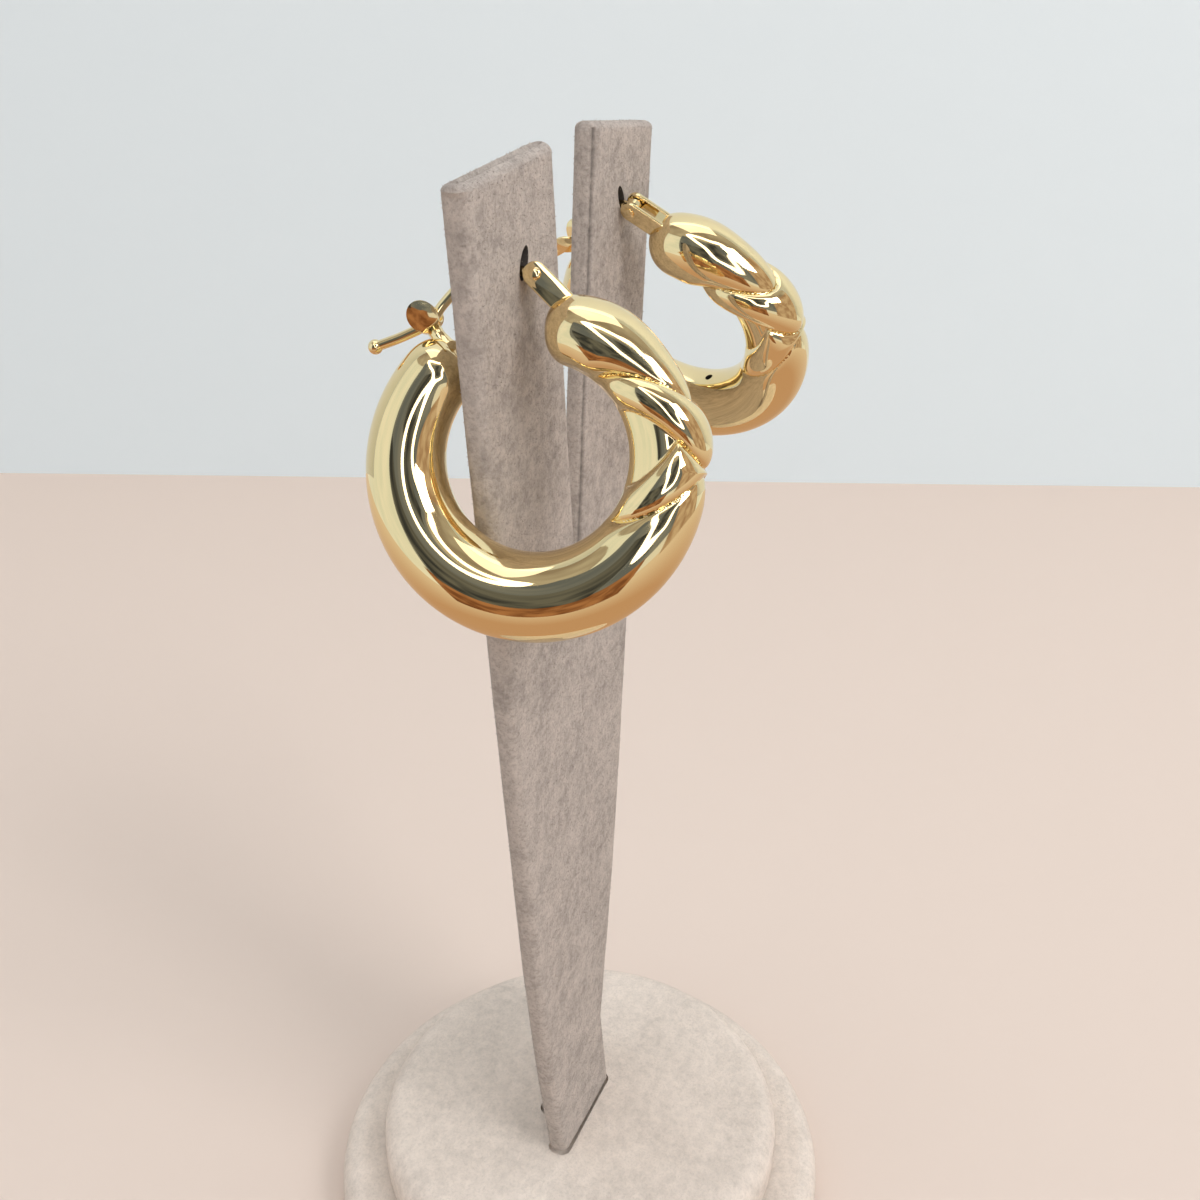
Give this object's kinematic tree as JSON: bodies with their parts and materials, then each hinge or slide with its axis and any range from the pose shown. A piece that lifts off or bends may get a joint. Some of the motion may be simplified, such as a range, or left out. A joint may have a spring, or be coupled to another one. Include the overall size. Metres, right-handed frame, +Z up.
{
  "type": "pair of hoop earrings on a display stand",
  "caption": "Thick hollow gold hoops with a knotted front and hinged ear wires, hung on a suede stand of two spread boards on a round base.",
  "frame": {"origin": "centre of the round base, on the surface that the stand rests on", "axes": "+Z up, the two boards spread along X, the knotted fronts of the hoops face -Y"},
  "size_m": [0.0736, 0.0736, 0.1556],
  "materials": {
    "gold": "mirror-polished yellow gold",
    "board_suede": "taupe microsuede with a short mottled nap",
    "base_suede": "pale beige microsuede with a short mottled nap"
  },
  "bodies": {
    "stand": {"base_lower": "base_suede", "base_upper": "base_suede", "board_left": "board_suede", "board_right": "board_suede", "hoop_left": "gold", "hoop_right": "gold", "hinge_rivet_left": "gold", "hinge_rivet_right": "gold"},
    "wire_left": {"ear_wire_left": "gold"},
    "wire_right": {"ear_wire_right": "gold"}
  },
  "joints": [
    {"name": "wire_left_hinge", "type": "hinge", "parent": "stand", "child": "wire_left", "pos_m": [-0.0181, -0.0031, 0.144], "axis": [0.903, 0.2011, -0.3796], "range_deg": [0, 30]},
    {"name": "wire_right_hinge", "type": "hinge", "parent": "stand", "child": "wire_right", "pos_m": [0.015, 0.0005, 0.1455], "axis": [0.8796, -0.0872, 0.4677], "range_deg": [0, 30]}
  ]
}
